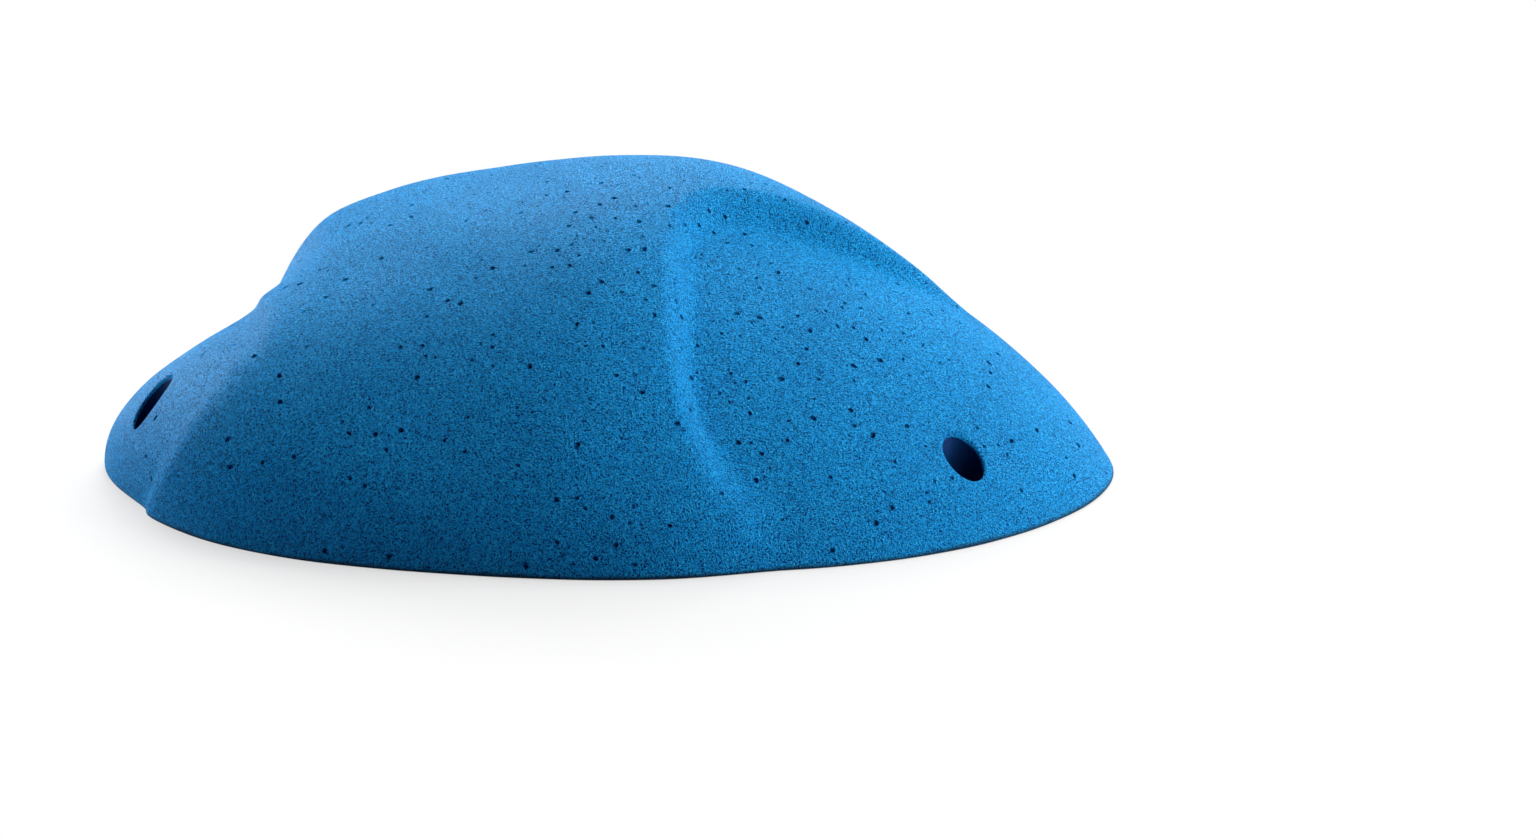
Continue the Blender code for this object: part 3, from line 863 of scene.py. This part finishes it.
def skin_material(finish, grain, pores):
    """Blue polyurethane with the imprint of fine foam and open pores.

    The grain's cells, the pores and the lower edge get painted shade, and the grains' tops a painted
    highlight.
    """
    made, tree, shader = new_material("grained_blue_polyurethane")
    place = tree.place()
    grained = tree.group(grain, Place=place, Cell=finish.cell)
    porous = tree.group(pores, Place=place, Cell=finish.pore_cell, Radius=0.10)
    fine = tree.group(pores, Place=place, Cell=finish.pore_cell * 0.42, Radius=0.15)
    blotch = tree.noise(place, 22.0, Detail=3.0)
    # Painted shade along the lower edge: strongest next to the wall face, with a ragged upper border
    rise = tree.add("ShaderNodeSeparateXYZ", Vector=place).outputs["Z"]
    reach = tree.math("MULTIPLY_ADD", blotch, finish.painted_edge_shade_height, rise)
    shading = tree.between(reach, finish.painted_edge_shade_height * 0.8, finish.painted_edge_shade_height * 1.6, 0.85, 0.0)
    # Painted highlight on the grains' tops, partly their own paler tone
    base = tree.mix(grained["Glint"], finish.blue, finish.blue_tone_and_highlight)
    # Painted shade in the grain's cells, random darker blotches, then painted shade in the pores and along
    # the lower edge
    for share, tint in (
        (grained["Cells"], finish.blue_blotch_and_cell_shade),
        (tree.between(blotch, 0.30, 0.70, 0.0, 0.12), finish.blue_blotch_and_cell_shade),
        (tree.times(fine["Inside"], 0.75), finish.blue_recess_shade),
        (porous["Inside"], finish.blue_recess_shade),
        (shading, finish.painted_edge_shade),
    ):
        base = tree.mix(share, base, tint)
    height = tree.times(grained["Height"], tree.times(fine["Height"], porous["Height"]))
    roughness = tree.math("ADD", tree.times(grained["Cells"], 0.25), finish.skin_roughness)
    tree.surface(shader, base, roughness, height, finish.grain_height)
    shader.inputs["Specular IOR Level"].default_value = finish.skin_specular
    shader.inputs["Sheen Weight"].default_value = finish.skin_sheen
    shader.inputs["Sheen Tint"].default_value = (*finish.sheen_blue, 1)
    return made


def wall_face_material(finish, pores):
    """Sanded polyurethane: paler, flat, with straight fine scratches and cut bubbles, which get painted
    shade.
    """
    made, tree, shader = new_material("sanded_blue_polyurethane")
    place = tree.place()
    stretched = tree.add("ShaderNodeMapping", Vector=place, Scale=(60.0, 2400.0, 60.0),
                         Rotation=(0.0, 0.0, 0.5)).outputs[0]
    scratches = tree.noise(stretched, 1.0, Detail=2.0)
    porous = tree.group(pores, Place=place, Cell=0.0065, Radius=0.11)
    mark = tree.between(scratches, 0.35, 0.70)
    base = tree.mix(tree.times(mark, 0.35), finish.blue_cut, finish.blue)
    height = tree.times(porous["Height"], tree.math("ADD", tree.times(mark, 0.12), 0.88))
    tree.surface(shader, tree.mix(porous["Inside"], base, finish.blue_recess_shade),
                 tree.between(scratches, 0.3, 0.7, 0.62, 0.78), height, 0.0003)
    return made


def moulded_material(name, finish, pores, pale, dark, specular):
    """Polyurethane as it comes off a smooth mould, clouded from a pale to a dark blue.

    Its pores get painted shade, and in the screw holes both blues are painted shade.
    """
    made, tree, shader = new_material(name)
    place = tree.place()
    porous = tree.group(pores, Place=place, Cell=0.009, Radius=0.09)
    flow = tree.noise(place, 38.0, Detail=4.0, Distortion=0.8)
    base = tree.mix(tree.between(flow, 0.3, 0.7, 0.10, 0.45), pale, dark)
    height = tree.times(porous["Height"], tree.between(flow, 0.2, 0.8, 0.8, 1.0))
    tree.surface(shader, tree.mix(porous["Inside"], base, finish.blue_recess_shade),
                 tree.between(flow, 0.3, 0.7, 0.40, 0.55), height, 0.0004)
    shader.inputs["Specular IOR Level"].default_value = specular
    return made


def washer_material(finish):
    """Zinc-plated steel with turning marks round the bore, read from the washer's own UV map."""
    made, tree, shader = new_material("zinc_plated_steel")
    along = tree.add("ShaderNodeUVMap", {"uv_map": "turned"}).outputs[0]
    rings = tree.add("ShaderNodeMapping", Vector=along, Scale=(3.0, 140.0, 1.0)).outputs[0]
    marks = tree.add("ShaderNodeTexNoise", {"noise_dimensions": "2D"}, Vector=rings, Scale=1.0,
                     Detail=2.0).outputs[0]
    dull = tree.between(tree.noise(tree.place(), 420.0, Detail=2.0), 0.3, 0.7, 0.0, 0.35)
    tree.surface(shader, tree.mix(dull, finish.zinc, finish.zinc_dull),
                 tree.between(marks, 0.3, 0.7, 0.24, 0.44), marks, 0.00003)
    shader.inputs["Metallic"].default_value = 1.0
    return made


def floor_material(studio):
    """White floor. The light meets one colour, and the camera sees another, which turns white further out."""
    made = bpy.data.materials.new("white_floor")
    tree = open_tree(made)
    away = tree.add("ShaderNodeVectorMath", {"operation": "LENGTH"}, n0=tree.place()).outputs["Value"]
    lit = tree.add("ShaderNodeBsdfDiffuse", Color=(*studio.floor_seen, 1.0)).outputs[0]
    bounce = tree.add("ShaderNodeBsdfDiffuse", Color=(*studio.floor_bounce, 1.0)).outputs[0]
    white = tree.add("ShaderNodeEmission", Color=(1.0, 1.0, 1.0, 1.0), Strength=1.0).outputs[0]
    seen = tree.add("ShaderNodeMixShader", n0=tree.between(away, 0.20, 0.36, 0.60, 1.0), n1=lit, n2=white)
    mixed = tree.add("ShaderNodeMixShader", n0=tree.straight_ray(), n1=bounce, n2=seen.outputs[0])
    tree.finish("ShaderNodeOutputMaterial", mixed.outputs[0])
    return made


# Studio

FLOOR_GAP = 0.0001          # how far the floor lies below the wall face

# Name, azimuth from +X, height angle and power in watts of each softbox
LAMPS = (
    ("right_key", -22.5, 35, 14.0),
    ("right_low", 0, 12, 30.5),
    ("right_back", 45, 12, 9.5),
    ("top_back", 90, 60, 13.0),
    ("back", 90, 30, 22.0),
    ("left_back", 135, 12, 37.0),
    ("left_low", 180, 12, 15.0),
)


def add_lamp(name, azimuth, rise, power, size, distance):
    """Square softbox on a half ball round the hold, facing its middle."""
    light = bpy.data.lights.new(name, "AREA")
    light.shape = "SQUARE"
    light.size = size
    light.energy = power
    lamp = add_object(name, light)
    azimuth, rise = math.radians(azimuth), math.radians(rise)
    flat = distance * math.cos(rise)
    lamp.location = (flat * math.cos(azimuth), flat * math.sin(azimuth), distance * math.sin(rise))
    lamp.rotation_euler = (-lamp.location).to_track_quat("-Z", "Y").to_euler()


def add_camera(studio):
    """Camera on a line that rises from the aim towards -Y, looking along +Y and down."""
    data = bpy.data.cameras.new("camera")
    data.lens = studio.lens
    camera = add_object("camera", data)
    aim = np.array(studio.aim) + design_shift()
    back = np.array([0, math.cos(studio.pitch), -math.sin(studio.pitch)]) * studio.distance
    camera.location = aim - back
    camera.rotation_euler = (math.pi / 2 - studio.pitch, 0, 0)
    bpy.context.scene.camera = camera


def add_floor(studio):
    """Round floor just below the wall face."""
    disc = turned_points([(studio.floor_radius, -FLOOR_GAP)], ROUND_SEGMENTS)[0]
    mesh = bpy.data.meshes.new("floor")
    mesh.from_pydata(disc.tolist(), [], [list(range(ROUND_SEGMENTS))])
    mesh.materials.append(floor_material(studio))
    return add_object("floor", mesh)


def set_world(scene):
    """Plain white where the camera looks past the floor, and no light on what isn't glossy."""
    world = bpy.data.worlds.new("studio")
    tree = open_tree(world)
    background = tree.add("ShaderNodeBackground", Color=(1.0, 1.0, 1.0, 1.0), Strength=tree.straight_ray())
    tree.finish("ShaderNodeOutputWorld", background.outputs[0])
    scene.world = world
    scene.view_settings.view_transform = "Standard"


# Operators


class HOLD_OT_casting(Operator):
    """Make the hollow-backed casting with its creases, screw holes, ribs and pits"""

    bl_idname = "hold.make_casting"
    bl_label = "Make casting"

    def execute(self, context):
        shape, washer, finish = context.scene.hold_shape, context.scene.hold_washer, context.scene.hold_finish
        casting = add_object("hold_casting", skin_mesh(shape))
        carve(casting, add_hollow_cutter(shape, washer.flange_radius))
        for name in WASHERS:
            carve(casting, add_object(f"hole_{name}", hole_cutter_mesh(shape, washer, name)))
        if shape.pit_count:
            carve(casting, add_object("pits", pit_cutter_mesh(shape)))
        sort_faces(casting.data, shape)
        smooth(casting.data)
        pores = pore_group()
        inside = finish.blue, finish.blue_cut, finish.moulded_specular
        # The screw holes' blues are painted shade
        bore = finish.blue_bore_shade, finish.blue_recess_shade, finish.bore_specular
        for material in (skin_material(finish, grain_group(), pores), wall_face_material(finish, pores),
                         moulded_material("moulded_blue_polyurethane", finish, pores, *inside),
                         moulded_material("bore_painted_shade_polyurethane", finish, pores, *bore)):
            casting.data.materials.append(material)
        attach(casting, "root")
        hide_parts("hold_body")
        return {"FINISHED"}


class HOLD_OT_washers(Operator):
    """Make the four steel washers that are moulded into the screw holes"""

    bl_idname = "hold.make_washers"
    bl_label = "Make washers"

    def execute(self, context):
        washer, shape = context.scene.hold_washer, context.scene.hold_shape
        steel = washer_material(context.scene.hold_finish)
        collar = shape.head_bore_radius - shape.piece_gap
        top = washer.flange_thickness + washer.collar_height
        corners = [(washer.bore_radius, 0, True), (washer.flange_radius, 0, True),
                   (washer.flange_radius, washer.flange_thickness, True),
                   (collar, washer.flange_thickness, False), (collar, top, True),
                   (washer.bore_radius, top, True)]
        profile = rounded_profile(corners, washer.edge_round)
        for name in WASHERS:
            label = f"washer_ring_{name}"
            ring = add_object(label, washer_mesh(label, profile, washer_place(name)))
            ring.data.materials.append(steel)
            smooth(ring.data)
            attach(ring, "root")
            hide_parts(f"washer_{name}")
        return {"FINISHED"}


class HOLD_OT_studio(Operator):
    """Make the white floor, the lamps and the camera"""

    bl_idname = "hold.make_studio"
    bl_label = "Make studio"

    def execute(self, context):
        studio = context.scene.hold_studio
        add_floor(studio)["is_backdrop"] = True
        add_camera(studio)
        for lamp in LAMPS:
            add_lamp(*lamp, studio.lamp_size, studio.lamp_distance)
        set_world(context.scene)
        return {"FINISHED"}


class HOLD_PT_panel(Panel):
    """Lists what can be made"""

    bl_idname = "HOLD_PT_panel"
    bl_label = "Edge climbing hold"
    bl_space_type = "VIEW_3D"
    bl_region_type = "UI"
    bl_category = "Hold"

    def draw(self, context):
        for operator in OPERATORS:
            self.layout.operator(operator.bl_idname)


OPERATORS = (HOLD_OT_casting, HOLD_OT_washers, HOLD_OT_studio)
LOBES = (MainBody, Shoulder, Crest, RightWing, LeftWing)
SETTINGS = {"hold_shape": HoldShape, "hold_washer": HoldWasher, "hold_finish": HoldFinish,
            "hold_studio": HoldStudio}
CLASSES = (*LOBES, *SETTINGS.values(), *OPERATORS, HOLD_PT_panel)


def register():
    for item in CLASSES:
        bpy.utils.register_class(item)
    for name, group in SETTINGS.items():
        setattr(bpy.types.Scene, name, PointerProperty(type=group))


def unregister():
    for name in SETTINGS:
        delattr(bpy.types.Scene, name)
    for item in reversed(CLASSES):
        bpy.utils.unregister_class(item)


def main():
    register()
    bpy.ops.hold.make_casting()
    bpy.ops.hold.make_washers()
    bpy.ops.hold.make_studio()
    boxes = {"cad": CAD_BOX, "visual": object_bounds()}
    {name: [list(corner) for corner in box] for name, box in boxes.items()}


if __name__ == "__main__":
    main()
